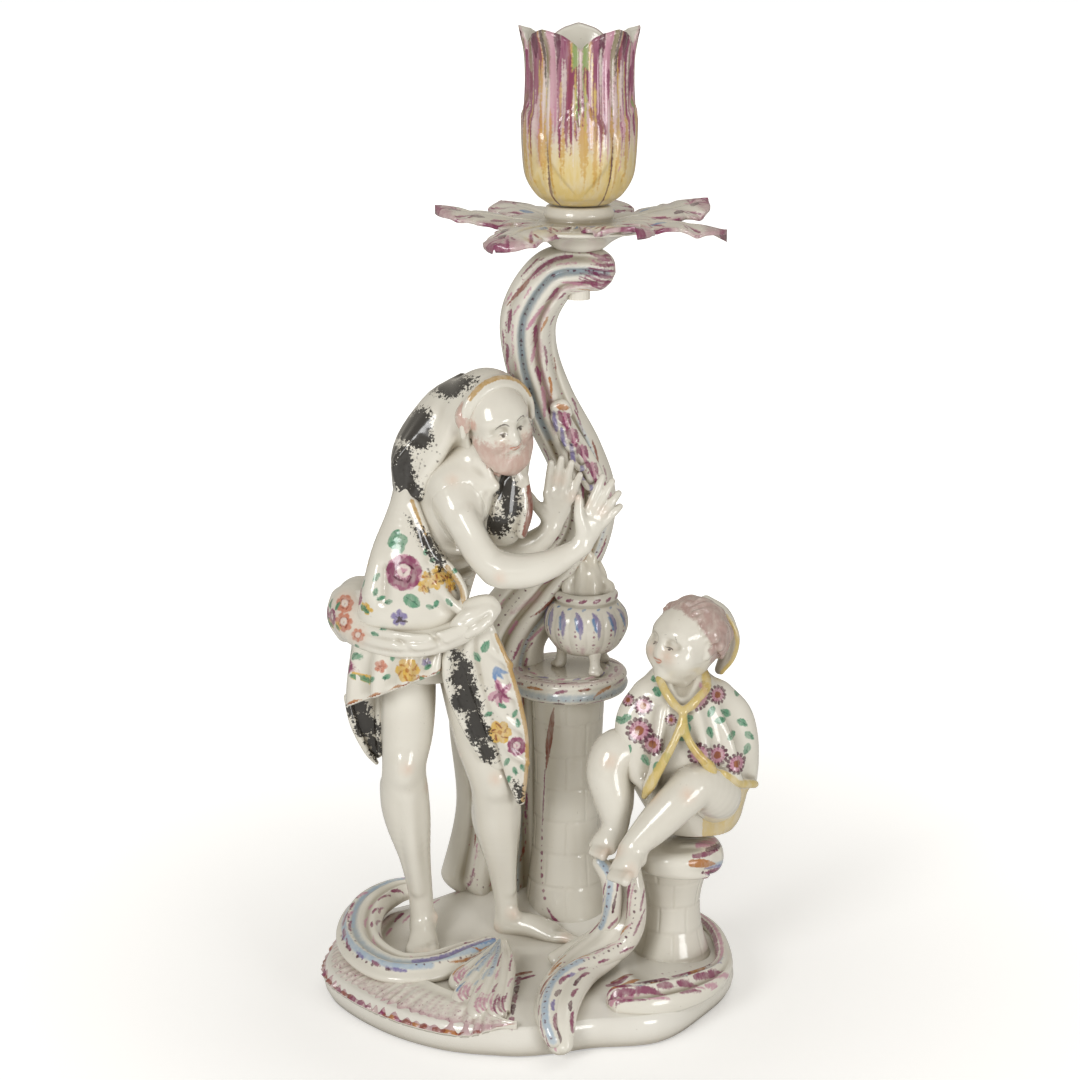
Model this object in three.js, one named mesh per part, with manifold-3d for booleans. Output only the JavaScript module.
// A rococo porcelain candlestick. An old man warms his hands at a brazier, a small child sits beside it, and
// the scroll stem behind them carries a loose drip pan and a tulip nozzle with a peg.
// Millimetres, z up. The front is towards -y.
import * as THREE from 'three';
import { mergeVertices } from 'three/addons/utils/BufferGeometryUtils.js';
import Module from 'manifold-3d';

const wasm = await Module();
wasm.setup();

// Joints between pieces
const seam = 0.3; // the joint line left between two pieces that are luted together
const running = 0.3; // play round the loose peg
const flatness = { form: 0.12, cut: 0.04 }; // facets flatter than this are merged, before and after the cuts

// Base. The ground is the top of the mound in front, where the man stands.
const mound = { middle: [-3, -8], wall: 9.5, shell: 4.5, lift: 2.5, rise: 9, foot: 0.93 };
const outline = [[-68, -6], [-58, -33], [-32, -54.5], [-11, -59.5], [4, -58], [16, -54.5], [36, -50], [51, -33],
  [60.5, -10], [57, 14], [42, 37], [12, 47], [-24, 44], [-57, 25]];
const ground = mound.wall + mound.lift;

// Brazier stand and the child's plinth: centre, height and radii from the bottom up
const stand = { at: [9, 24], foot: ground, top: 88.3, radii: [15, 11.6, 10.8, 11.8] };
const table = { radius: 19.3, thick: 8, edge: 2.6 };
const tableTop = stand.top + table.thick;
const pot = { aside: 5.7, lift: 5.2, radius: 13.5, height: 20, feet: 3, footRing: 6.8, footRadius: 2 };
const plinth = { at: [41.5, -5], foot: 7, top: 42, radii: [13.5, 10, 9.2, 12] };
const ledge = { aside: [1, -1.5], rise: 7.5, radius: 14.5, thick: 7 };
const seat = plinth.top + ledge.rise;

// Loose top: pan, nozzle and peg share one upright axis. The pan's and the tulip's heights are over their feet.
const top = { x: 11.6, y: 0, foot: 234 };
const pan = { rim: 7, height: 13.7, collar: 10, well: 5.6, leafReach: 44, leafHalf: 11.5, thick: 1.3 };
const tulip = { height: 52, notch: 5.5, footRadius: 9.5, waist: 16.5, petals: 5, cup: 11.2, floor: 7 };
const peg = { radius: 3.4, seat: 4, hang: 14.7 };
const tulipFoot = top.foot + pan.height + seam;

const glaze = { white: '#e9e4d6', stem: '#dcc9cb', tulip: '#cf9f86', fur: '#6e6a64', cloth: '#e4d8c4',
  skin: '#ebe2d3', leaf: '#d8b9c0', cape: '#e3dac6', ochre: '#d9a24e', shell: '#c9a3a0' };

const point = ([x, y, z]) => new THREE.Vector3(x, y, z);
const turn = (k, count) => (2 * Math.PI * k) / count;

// Closes a stack of equal rings into one skin; a ring of one point is a pole
function skin(rings) {
  const places = [];
  const starts = rings.map((ring) => places.push(...ring.flatMap((p) => [p.x, p.y, p.z])) / 3 - ring.length);
  const faces = [];
  for (let r = 0; r + 1 < rings.length; r += 1) {
    const [low, high] = [rings[r].length, rings[r + 1].length];
    const count = Math.max(low, high);
    for (let k = 0; k < count; k += 1) {
      const [a, b] = [starts[r] + (k % low), starts[r] + ((k + 1) % low)];
      const [c, d] = [starts[r + 1] + (k % high), starts[r + 1] + ((k + 1) % high)];
      if (low > 1) faces.push(a, b, d);
      if (high > 1) faces.push(a, d, c);
    }
  }
  const geometry = new THREE.BufferGeometry();
  geometry.setAttribute('position', new THREE.Float32BufferAttribute(places, 3));
  geometry.setIndex(faces);
  return geometry;
}

// The solid that a closed geometry bounds, faced outwards
function solid(geometry) {
  const plain = new THREE.BufferGeometry();
  plain.setAttribute('position', geometry.getAttribute('position').clone());
  plain.setIndex(geometry.getIndex());
  const welded = mergeVertices(plain, 1e-4);
  const { array } = welded.getAttribute('position');
  const index = [...welded.getIndex().array];
  const faces = [];
  let volume = 0;
  for (let i = 0; i < index.length; i += 3) {
    const [a, b, c] = index.slice(i, i + 3);
    if (a === b || b === c || c === a) continue;
    faces.push(a, b, c);
    const [p, q, r] = [a, b, c].map((v) => new THREE.Vector3().fromArray(array, 3 * v));
    volume += p.dot(q.cross(r));
  }
  if (volume < 0) faces.reverse();
  const mesh = new wasm.Mesh({ numProp: 3, vertProperties: array, triVerts: new Uint32Array(faces) });
  return new wasm.Manifold(mesh);
}

function geometryOf(body) {
  const { vertProperties, triVerts } = body.getMesh();
  const geometry = new THREE.BufferGeometry();
  geometry.setAttribute('position', new THREE.Float32BufferAttribute(vertProperties, 3));
  geometry.setIndex([...triVerts]);
  return geometry;
}

// The same body with its skin moved out, used to cut a seat with a joint line into its neighbours
function swollen(body, by) {
  const geometry = geometryOf(body);
  const places = geometry.getAttribute('position');
  const index = geometry.getIndex().array;
  const normals = Array.from({ length: places.count }, () => []);
  for (let i = 0; i < index.length; i += 3) {
    const [a, b, c] = [0, 1, 2].map((k) => new THREE.Vector3().fromBufferAttribute(places, index[i + k]));
    const normal = b.sub(a).cross(c.sub(a)).normalize();
    for (let k = 0; k < 3; k += 1) normals[index[i + k]].push(normal);
  }
  normals.forEach((faces, v) => {
    const out = faces.reduce((sum, n) => sum.add(n), new THREE.Vector3()).normalize();
    const reach = by / Math.max(0.6, Math.min(...faces.map((n) => n.dot(out))));
    const moved = new THREE.Vector3().fromBufferAttribute(places, v).addScaledVector(out, reach);
    places.setXYZ(v, moved.x, moved.y, moved.z);
  });
  return solid(geometry);
}

// A rounded limb, scroll or fold through spots of [x, y, z, half width, half depth]. The depth lies along
// `face`, and `dish` presses a channel along both broad sides.
function sweep(spots, { sides = 10, steps = 2, face = [0, -1, 0], dish = 0, blunt = 1 } = {}) {
  const path = new THREE.CatmullRomCurve3(spots.map(point), false, 'centripetal');
  const girth = new THREE.CatmullRomCurve3(spots.map((s) => new THREE.Vector3(s[3], s[4] ?? s[3], 0)));
  const front = point(face);
  const ring = (at, along, [wide, deep]) => {
    const across = new THREE.Vector3().crossVectors(along, front).normalize();
    const out = new THREE.Vector3().crossVectors(across, along).normalize();
    return Array.from({ length: sides }, (_, k) => {
      const [c, s] = [Math.cos(turn(k + 0.5, sides)), Math.sin(turn(k + 0.5, sides))];
      const high = deep * s * (1 - dish * (1 - c * c));
      return at.clone().addScaledVector(across, wide * c).addScaledVector(out, high);
    });
  };
  const count = steps * (spots.length - 1);
  const rings = Array.from({ length: count + 1 }, (_, k) => {
    const g = girth.getPoint(k / count);
    return ring(path.getPoint(k / count), path.getTangent(k / count), [Math.max(0.5, g.x), Math.max(0.5, g.y)]);
  });
  const cap = (t, sign) => {
    const [at, along, g] = [path.getPoint(t), path.getTangent(t), girth.getPoint(t)];
    const length = blunt * Math.min(g.x, g.y);
    const half = [0.7, 0.95].map((s) => ring(at.clone().addScaledVector(along, sign * length * s), along,
      [g.x, g.y].map((r) => r * Math.sqrt(1 - s * s))));
    return [...half, [at.clone().addScaledVector(along, sign * length)]];
  };
  return skin([...cap(0, -1).reverse(), ...rings, ...cap(1, 1)]);
}

const limb = (spots, options) => solid(sweep(spots, options));

// A turned body with its profile given as [radius, height] from the bottom up, lobed if wanted
function turned([x, y], profile, { sides = 28, lobes = 0, swell = 0 } = {}) {
  const shape = profile.map(([r, z]) => new THREE.Vector2(r, z));
  const geometry = new THREE.LatheGeometry(shape, sides).rotateX(Math.PI / 2);
  const places = geometry.getAttribute('position');
  for (let i = 0; i < places.count; i += 1) {
    const swing = 1 + swell * Math.cos(lobes * Math.atan2(places.getY(i), places.getX(i)));
    places.setXYZ(i, places.getX(i) * swing + x, places.getY(i) * swing + y, places.getZ(i));
  }
  return solid(geometry);
}

const join = (...bodies) => bodies.reduce((whole, body) => whole.add(body));

// Height of the modelled ground: nearly level in front, sweeping up to the stem and the stand behind
function groundAt(x, y, inset) {
  const back = THREE.MathUtils.smoothstep(y, 0, 30) * Math.exp(-(((x + 2) / 40) ** 2));
  return mound.wall + Math.min(1, inset / 0.3) * (mound.lift + mound.rise * back);
}

function baseMound() {
  const edge = new THREE.CatmullRomCurve3(outline.map(([x, y]) => point([x, y, 0])), true).getSpacedPoints(52);
  edge.pop();
  const [mx, my] = mound.middle;
  const loop = (scale, height) => edge.map((p) => {
    const [x, y] = [mx + (p.x - mx) * scale, my + (p.y - my) * scale];
    return point([x, y, height(x, y, 1 - scale)]);
  });
  const level = (z) => () => z;
  const roof = (x, y, inset) => groundAt(x, y, inset) - mound.shell;
  const rings = [loop(mound.foot - 0.05, roof), loop(mound.foot - 0.03, level(0)),
    loop(mound.foot + 0.04, level(0)), loop(1, level(3)), loop(1, level(mound.wall - 1.5)), loop(0.975, groundAt)];
  const floor = [0.85, 0.7, 0.52, 0.34, 0.16].map((scale) => loop(scale, groundAt));
  const ceiling = [0.16, 0.34, 0.52, 0.7].map((scale) => loop(scale, roof));
  const pole = (height) => [point([mx, my, height(mx, my, 1)])];
  return solid(skin([pole(roof), ...ceiling, ...rings, ...floor, pole(groundAt)]));
}

// The ruffled edge of a shell that rims the front left of the base
function shellEdge() {
  const path = new THREE.CatmullRomCurve3([[-64, -4], [-61, -20], [-51, -35], [-36, -47], [-21, -54], [-8, -57]]
    .map(([x, y]) => point([x, y, ground - 1.5])));
  const count = 44;
  const rings = Array.from({ length: count + 1 }, (_, k) => {
    const [at, along] = [path.getPointAt(k / count), path.getTangentAt(k / count)];
    const out = new THREE.Vector3(along.y, -along.x, 0).negate();
    const fade = Math.sqrt(Math.sin(Math.PI * (0.04 + 0.92 * (k / count))));
    const frill = 1 + 0.1 * Math.cos(turn(k, 4));
    const wave = 0.5 * Math.sin(turn(k, 4));
    return [[-6, -1.5], [6 * frill, -1.5 + wave], [6.8 * frill, 0.4 + wave], [0, 2.2], [-6, 1.6]]
      .map(([wide, high]) => at.clone().addScaledVector(out, -wide * fade).add(point([0, 0, high])));
  });
  const middle = (ring) => [ring.reduce((sum, p) => sum.add(p), new THREE.Vector3()).divideScalar(ring.length)];
  return solid(skin([middle(rings[0]), ...rings, middle(rings.at(-1))]));
}

function candleTulip() {
  const { footRadius, waist, petals, cup } = tulip;
  const [foot, floor, tip] = [0, tulip.floor, tulip.height].map((z) => tulipFoot + z);
  const sides = 40;
  const around = (radius, height, bulge = 0.03) => Array.from({ length: sides }, (_, k) => {
    const angle = turn(k, sides);
    const petal = Math.abs(Math.cos((petals / 2) * (angle - Math.PI / 2))); // one petal's tip is at the back
    const r = radius * (1 + bulge * petal);
    return point([top.x + r * Math.cos(angle), top.y + r * Math.sin(angle), height(petal)]);
  });
  const level = (z) => () => z;
  const rim = (drop) => (petal) => tip - drop - tulip.notch * (1 - Math.sqrt(petal));
  const outer = [[footRadius, foot], [footRadius * 1.3, foot + 3], [waist * 0.93, foot + 8], [waist, foot + 16],
    [waist, foot + 28], [waist * 0.985, tip - 15]].map(([r, z]) => around(r, level(z)));
  const inner = [[waist * 0.84, tip - 15], [cup, tip - 23],
    [cup, floor]].map(([r, z]) => around(r, level(z), 0));
  const pole = (z) => [point([top.x, top.y, z])];
  const lips = [around(waist, rim(0)), around(waist * 0.93, rim(0.4))];
  return solid(skin([pole(foot), ...outer, ...lips, ...inner, pole(floor)]));
}

// A plate with a rounded foot and a collar, rimmed by drooping acanthus leaves
function dripPan() {
  const { collar, well, leafReach, leafHalf, thick } = pan;
  const [foot, rim, head] = [0, pan.rim, pan.height].map((z) => top.foot + z);
  const plate = turned([top.x, top.y], [[0, foot], [well, foot], [well + 3, foot + 2], [12, foot + 4.4],
    [20, rim - 1],
    [26, rim], [24, rim + 1.6], [14, rim + 1.6], [collar + 0.6, rim + 3], [collar, head - 1],
    [collar - 1, head],
    [0, head]], { sides: 36 });
  const leaf = ([angle, droop, reach]) => {
    const out = (r, z, wide) => [top.x + r * Math.cos(angle), top.y + r * Math.sin(angle), z, wide, thick];
    const far = leafReach * reach;
    return limb([out(12, rim + 0.4, leafHalf * 0.6), out(far * 0.55, rim + 1.4, leafHalf),
      out(far * 0.8, rim + 2 - droop * 0.4, leafHalf * 0.8), out(far - 1, rim + 1 - droop, leafHalf * 0.25)],
    { sides: 8, face: [0, 0, 1], blunt: 0.8 });
  };
  const leaves = [[-4, 3, 1.02], [24, -4.5, 1.05], [76, -3, 0.9], [126, -3, 0.92], [172, -4.5, 0.98],
    [230, 3, 0.84],
    [296, -1.5, 0.8]];
  return join(plate, ...leaves.map(([degrees, ...rest]) => leaf([THREE.MathUtils.degToRad(degrees), ...rest])));
}

function upright([x, y], [low, high], radius) {
  return turned([x, y], [[0, low], [radius, low], [radius, high], [0, high]], { sides: 20 });
}

// A round pier with a waist, its radii spread evenly from the foot to the top
const pier = ({ at, foot, top: high, radii }) => turned(at, [[0, foot],
  ...radii.map((r, k) => [r, foot + ((high - foot) * k) / (radii.length - 1)]), [0, high]]);

// A hand: the palm from wrist to knuckles, then fingers and thumb that end at the given tips
function hand(wrist, knuckles, tips, thumb, face) {
  const palm = limb([[...wrist, 3.6, 3], [...knuckles, 4.6, 2.4]], { sides: 10, steps: 2, face, blunt: 0.5 });
  const spread = tips.map((tip, k) => {
    const root = point(knuckles).add(point(tip).sub(point(tips[1])).multiplyScalar(0.55 + 0.05 * k));
    return limb([[...root, 1.5], [...tip, 1.2]], { sides: 6, steps: 1, face });
  });
  const heel = point(wrist).lerp(point(knuckles), 0.55);
  return join(palm, ...spread, limb([[...heel, 2], [...thumb, 1.3]], { sides: 6, steps: 1, face }));
}

const man = {
  torso: () => limb([[-38, 3, 94, 17, 11], [-36, 3, 110, 14.5, 11], [-31, 2, 128, 15, 11.5],
    [-26, 1, 144, 13.5, 10.5], [-20, -1, 153, 8, 7.5]]),
  head: () => join(
    limb([[-20, 1, 148, 6], [-16.5, -2, 155, 7, 7.5], [-14.5, -3.5, 162, 9.5, 10.5],
      [-15, -3, 170, 10.8, 12], [-16, -2, 176.5, 9.4, 10.5]], { face: [0.6, -0.8, 0], sides: 16 }),
    limb([[-9.4, -9, 166, 5.4, 3.5], [-10.6, -8.5, 161, 6.4, 4.5], [-12, -7.5, 157.5, 4.4, 3]],
      { face: [0.6, -0.8, 0] }),
    limb([[-7.4, -11.6, 172, 1.2, 1.5], [-6.2, -13.4, 167.5, 1.9, 1.8]], { sides: 8, face: [0.6, -0.8, 0] }),
  ),
  nearArm: () => join(
    limb([[-28, -5, 154, 7.5], [-26, -11, 143, 6.8], [-20, -14, 130.5, 6.4], [-7, -17, 129, 5.4],
      [5, -18, 135, 3.6]], { face: [0.3, -1, 0] }),
    hand([5, -18, 135], [12, -17, 142.5], [[19, -16, 154], [20.8, -15.5, 152], [21.5, -15, 149],
      [21, -14.5, 146]],
      [11, -19, 151], [0.5, -1, 0.2]),
  ),
  farArm: () => join(
    limb([[-16, 9, 148, 6.5], [-16, 12, 136, 6.2], [-13, 10, 127.5, 5.6], [-4, 7, 129.5, 5],
      [1.5, 5.5, 137, 3.6]],
      { face: [0.3, -1, 0] }),
    hand([1.5, 5.5, 137], [3, 5, 144.5], [[0, 5, 154], [2.8, 5, 155.8], [5.4, 5, 155], [7.8, 5.2, 153]],
      [-4.2, 4.4, 147.5], [0, -1, 0]),
  ),
  rightLeg: () => limb([[-44, 4, 98, 10, 10.5], [-41, 2, 80, 9.1, 10], [-41.2, -1, 60, 8.1, 8.4],
    [-41.7, 0, 42, 7.5, 8], [-40.4, 1, 26, 5.4, 5.8], [-38.8, 1.5, 13, 4.1, 4.6], [-37.8, -1, 5.5, 4.8, 4.8],
    [-37.3, -7, 1.6, 5.4, 3], [-37.2, -10, 0.8, 5, 2.2]], { face: [0, -1, 0.5] }),
  leftLeg: () => limb([[-23, 5, 96, 10, 10.5], [-20, 3, 76, 9, 9.6], [-14.6, 1, 52, 8.2, 8.6],
    [-13.4, 4, 37, 7.3, 7.8], [-12.4, 6, 22, 5.8, 6.2], [-11, 7, 11, 4.5, 4.8], [-8.6, 6.6, 4, 4.6, 4.6],
    [0, 4, 2, 4.6, 3.2], [7.5, 2, 1, 4.6, 2.2]], { face: [-0.4, -1, 0.4] }),
};

// The cloak is cut from rolled-out sheets that are laid round the figure one after the other
const cloak = {
  hood: () => limb([[-8, 4, 178.5, 4.5, 8], [-18, 6, 178.5, 6, 12], [-28, 7, 171.5, 10, 13],
    [-35.5, 6, 159, 9, 10], [-39, 5, 149, 6.6, 7]], { blunt: 0.8 }),
  farFall: () => limb([[-6.5, 6, 172, 2, 5], [-7.6, 6, 159, 2.8, 5], [-9.6, 4, 147, 5, 5.5],
    [-8.6, 4, 137, 4.6, 4.5]]),
  front: () => limb([[-40, -3, 143, 5.5, 5], [-38.6, -6, 133, 11, 7.5], [-37.6, -8, 122, 15.5, 8.5],
    [-39, -8, 113, 18, 9.5]], { blunt: 0.5 }),
  waistRoll: () => limb([[-57, 5, 111.5, 8.5, 9], [-54, -4, 106, 7.5, 7.5], [-42, -12, 102.5, 6, 5.5],
    [-29, -13.5, 105, 5.2, 5], [-20, -13, 110.5, 4.2, 4]], { face: [0, -1, 1] }),
  knot: () => limb([[-22, -14, 112, 3.4, 3.4], [-15.5, -13.5, 114.5, 5.4, 4.6], [-11.5, -13, 117, 3, 3]]),
  hipDrape: () => limb([[-41.5, -1, 101, 19.5, 13.5], [-42, -1, 92, 17.5, 13], [-43.5, -0.5, 84, 15.5, 12.5]],
    { sides: 14, blunt: 0.15 }),
  tail: () => limb([[-17.5, -9.5, 106, 5.4, 4], [-16.4, -8.5, 96, 8.6, 3.6], [-14, -7.5, 83, 9, 3.2],
    [-11, -7, 69, 7.2, 2.8], [-8.6, -6, 58, 4.8, 2.4], [-6, -5, 50, 1.6, 1.4]]),
  cornerFlap: () => limb([[-49, 6, 88, 8.5, 3.6], [-52.5, 7, 76, 6.4, 3.2], [-53.5, 7.5, 65, 4, 2.6],
    [-52, 7.5, 57, 1.6, 1.6]]),
};

const child = {
  torso: () => limb([[5.5, 6, 5, 12, 10.5], [5, 5, 22.5, 10.5, 9.5], [4, 3, 40.5, 8.5, 7.5],
    [3.5, 1, 47.5, 6, 6]],
    { blunt: 0.5 }),
  head: () => join(
    limb([[3.5, 1, 49.5, 5], [2.7, -2.5, 56.5, 8.6, 8.8], [4.3, -2, 63.5, 12.2, 11.8],
      [5.3, -1, 69.3, 12.2, 11.8]],
      { face: [-0.6, -0.8, 0], sides: 16, blunt: 0.75 }),
    limb([[-3.9, -10, 63, 1, 1.2], [-4.9, -11.4, 60.9, 1.4, 1.2]], { sides: 8, face: [-0.6, -0.8, 0] }),
  ),
  cap: () => limb([[13.1, 10, 73.5, 2.2, 4], [16.3, 7, 68.5, 2.2, 4.5], [15.7, 5, 64, 1.4, 3]]),
  nearLeg: () => limb([[9.5, -1, 14.5, 8.5, 8.5], [7, -10, 19.5, 8.4, 8.4], [3, -17, 20, 7.6, 7.6],
    [-5, -20.5, 12.5, 6.8, 6.8], [-12, -22.5, 6, 4.8, 5], [-15.5, -24.5, 1.5, 4.2, 4],
    [-17.1, -27.5, -2, 3.8, 2.6]],
  { face: [0, -1, 1] }),
  farLeg: () => limb([[1.5, 2, 14.5, 7.5, 7.5], [-9.5, -2, 26.5, 7.4, 7.4], [-17.5, -6, 30, 7.2, 7.2],
    [-20.3, -9, 20.5, 6.2, 6.4], [-19.1, -12, 10.5, 4.3, 4.6], [-20.1, -14, 4.5, 3.5, 3.6],
    [-23.1, -17, 2, 3.4, 2.4]],
  { face: [-0.5, -1, 0.2] }),
  cape: () => limb([[3, 1, 52.5, 7.5, 8], [1.9, 1, 47.5, 14, 12.5], [1.5, 1, 38.5, 18.4, 15.5],
    [2.9, 2, 28.5, 22, 17.5], [5.1, 3, 19.5, 20.6, 17], [8.1, 6, 9.5, 15.5, 14.5]], { sides: 18, blunt: 0.3 }),
};

const scrolls = {
  stem: () => limb([[-14, 32, ground + 5, 21, 12], [-12.2, 32, 46, 15.4, 8.5], [-13.2, 32, 80, 16.4, 8],
    [-10.5, 32, 104, 12.5, 8],
    [1, 31, 121, 11.5, 8], [12.4, 29, 136, 9, 8], [15.4, 26, 152, 8.6, 8], [10.6, 22, 167, 9, 8],
    [2, 17, 185, 8.6, 8],
    [-3, 12, 201, 8.4, 8], [-3, 6, 214.5, 8.6, 8], ...[[-7.8, 1, -7.5, 8.2, 8], [0.6, 0, -5.4, 7, 8],
    [6, 0, -5.8, 5.6, 7]]
      .map(([x, y, z, ...size]) => [top.x + x, top.y + y, top.foot + z, ...size])],
        { sides: 16, dish: 0.2, blunt: 0.9 }),
  leaf: () => limb([[7.4, 8.5, 186, 2.6, 2.6], [8.4, 11, 176, 2.4, 2.4], [13.6, 15, 166, 2, 2.2],
    [18, 18, 154, 1.2, 1.6]], { sides: 10 }),
  left: () => limb([[-42, 18, 10, 3, 3], [-54, 14, 10, 4.2, 4], [-62.5, 2, 6, 4.6, 4.2],
    [-60, -14, 2.6, 4.6, 4],
    [-49, -27, 1, 4.6, 4], [-34, -31, 1.4, 4.4, 4], [-20, -22, 2.6, 3.8, 3.6], [-11, -12, 4, 2.2, 2.6]],
  { face: [0, 0, 1] }),
  fan: () => limb([[-8, -10, 3, 3, 2.4], [-10.5, -24, 1.6, 4.6, 3.2], [-14, -40, -0.6, 6.4, 3]],
    { face: [0, 0, 1] }),
  ribbon: () => limb([[25, -21, 32, 6, 3.4], [27.6, -22, 22, 6.4, 3.6], [25.4, -26, 13, 7, 4],
    [17, -34.5, 6.6, 7.4, 4.4], [7, -43, 2.8, 7, 4.4], [0.4, -51, 0, 6, 4], [1.4, -58.4, -3.4, 4.6, 3.4],
    [5, -63.6, -8.2, 2.4, 2.2]], { face: [-0.4, -0.7, 0.9], dish: 0.35, sides: 16 }),
  rim: () => limb([[47, 26, 0.4, 1.6, 1.8], [55, 10, 0.2, 2.6, 2.4], [56.5, -8, -0.4, 3, 2.6],
    [52, -24, -1, 3.6, 2.6],
    [42, -37, -1.4, 4.4, 2.6], [28, -43, -1.4, 4.6, 2.4]], { face: [0, 0, 1] }),
};

const tableSlab = () => turned(stand.at, [[0, stand.top], [table.radius - 6.3, stand.top],
  [table.radius - 1, stand.top + 0.8], [table.radius, stand.top + table.edge],
  [table.radius - 0.4, tableTop - 1.4],
  [table.radius - 2, tableTop], [0, tableTop - 0.6]], { sides: 32 });

const ledgeAt = plinth.at.map((v, k) => v + ledge.aside[k]);
const ledgeSlab = () => join(
  turned(ledgeAt, [[0, seat - ledge.thick], [ledge.radius - 3, seat - ledge.thick], [ledge.radius, seat - 3],
    [ledge.radius - 1.5, seat], [0, seat]]),
  limb([[ledgeAt[0] + 3.5, ledgeAt[1] - 0.5, seat - 4.5, 8, 5],
    [ledgeAt[0] + 10, ledgeAt[1] + 0.5, seat - 6.3, 6, 3.4]],
    { face: [0, 0, 1] }),
);

// The pot stands on the table on its feet, with the flames heaped in its mouth
const potAt = [stand.at[0] + pot.aside, stand.at[1]];
const potFoot = tableTop + pot.lift;
const brazier = () => turned(potAt, [[0, 0], [0.5, 0], [0.86, 0.2], [1, 0.48], [0.9, 0.76], [0.7, 0.88],
  [0.74, 1],
  [0.6, 1.04], [0, 1.04]].map(([r, h]) => [r * pot.radius, potFoot + h * pot.height]),
{ sides: 36, lobes: 12, swell: 0.025 });
const brazierFoot = (k) => () => {
  const angle = turn(k, pot.feet) - Math.PI / 2 + 0.35;
  const at = (r) => [potAt[0] + r * Math.cos(angle), potAt[1] + r * Math.sin(angle)];
  return limb([[...at(pot.footRing), potFoot + 1.5, pot.footRadius],
    [...at(pot.footRing + 1), tableTop + 0.3, pot.footRadius * 0.9]], { sides: 8, face: [0, -1, 0] });
};
const flames = () => {
  const mouth = potFoot + pot.height;
  return join(...[[0, 0, 17.5, 4], [-4.4, 1, 11.5, 3.4], [4.4, 0.6, 12.5, 3.4], [0.6, -4, 8.5, 3]].map(
    ([dx, dy, high, r]) => limb([[potAt[0] + dx, potAt[1] + dy, mouth, r],
      [potAt[0] + dx * 1.1 + 1, potAt[1] + dy, mouth + high / 2, r * 0.8],
      [potAt[0] + dx * 0.8 - 0.6, potAt[1] + dy, mouth + high - 1, 0.9]], { sides: 8 })));
};

// The spots of a figure are measured from what it stands or sits on
const onGround = [0, 0, ground];
const onSeat = [...plinth.at, seat];

// The order matters: a piece is cut away where it meets one that is listed before it
const pieces = [
  ['nozzle_peg', glaze.white, () => upright([top.x, top.y], [top.foot - peg.hang, tulipFoot + peg.seat],
  peg.radius)],
  ['tulip_nozzle', glaze.tulip, candleTulip],
  ['drip_pan', glaze.leaf, dripPan],
  ['base_mound', glaze.white, baseMound],
  ['scroll_stem', glaze.stem, scrolls.stem],
  ['stem_leaf', glaze.leaf, scrolls.leaf],
  ['brick_pillar', glaze.white, () => pier(stand)],
  ['pillar_table', glaze.stem, tableSlab],
  ['brazier_pot', glaze.leaf, brazier],
  ...[0, 1, 2].map((k) => [`brazier_foot_${k + 1}`, glaze.white, brazierFoot(k)]),
  ['brazier_flames', glaze.white, flames],
  ['child_plinth', glaze.white, () => pier(plinth)],
  ['plinth_ledge', glaze.stem, ledgeSlab],
  ['base_front_ribbon', glaze.stem, scrolls.ribbon, onGround],
  ['base_left_scroll', glaze.stem, scrolls.left, onGround],
  ['base_fan_scroll', glaze.leaf, scrolls.fan, onGround],
  ['base_shell_edge', glaze.shell, shellEdge],
  ['base_right_rim', glaze.leaf, scrolls.rim, onGround],
  ['man_torso', glaze.skin, man.torso, onGround],
  ['man_head', glaze.skin, man.head, onGround],
  ['man_near_arm', glaze.skin, man.nearArm, onGround],
  ['man_far_arm', glaze.skin, man.farArm, onGround],
  ['man_right_leg', glaze.skin, man.rightLeg, onGround],
  ['man_left_leg', glaze.skin, man.leftLeg, onGround],
  ['cloak_hood', glaze.fur, cloak.hood, onGround],
  ['cloak_far_fall', glaze.fur, cloak.farFall, onGround],
  ['cloak_waist_roll', glaze.cloth, cloak.waistRoll, onGround],
  ['cloak_front', glaze.cloth, cloak.front, onGround],
  ['cloak_knot', glaze.cloth, cloak.knot, onGround],
  ['cloak_hip_drape', glaze.cloth, cloak.hipDrape, onGround],
  ['cloak_tail', glaze.cloth, cloak.tail, onGround],
  ['cloak_corner_flap', glaze.fur, cloak.cornerFlap, onGround],
  ['child_torso', glaze.skin, child.torso, onSeat],
  ['child_head', glaze.skin, child.head, onSeat],
  ['child_cap', glaze.ochre, child.cap, onSeat],
  ['child_near_leg', glaze.skin, child.nearLeg, onSeat],
  ['child_far_leg', glaze.skin, child.farLeg, onSeat],
  ['child_cape', glaze.cape, child.cape, onSeat],
];

const mainBody = (body) => body.asOriginal().simplify(flatness.cut).decompose()
  .sort((a, b) => b.volume() - a.volume())[0];

const candlestick = new THREE.Group();
const tools = [];
for (const [name, colour, form, place = [0, 0, 0]] of pieces) {
  const whole = form().translate(place).asOriginal().simplify(flatness.form);
  const body = mainBody(tools.reduce((left, tool) => left.subtract(tool), whole));
  tools.push(swollen(whole, name === 'nozzle_peg' ? running : seam));
  const geometry = geometryOf(body).toNonIndexed();
  geometry.computeVertexNormals();
  const material = new THREE.MeshStandardMaterial({ color: colour, roughness: 0.15, metalness: 0 });
  const mesh = new THREE.Mesh(geometry, material);
  mesh.name = name;
  candlestick.add(mesh);
}

// The origin is the middle of the whole figure's footprint, on the ground
const box = new THREE.Box3().setFromObject(candlestick);
const middle = box.getCenter(new THREE.Vector3());
candlestick.children.forEach((mesh) => mesh.geometry.translate(-middle.x, -middle.y, -box.min.z));

export default candlestick;
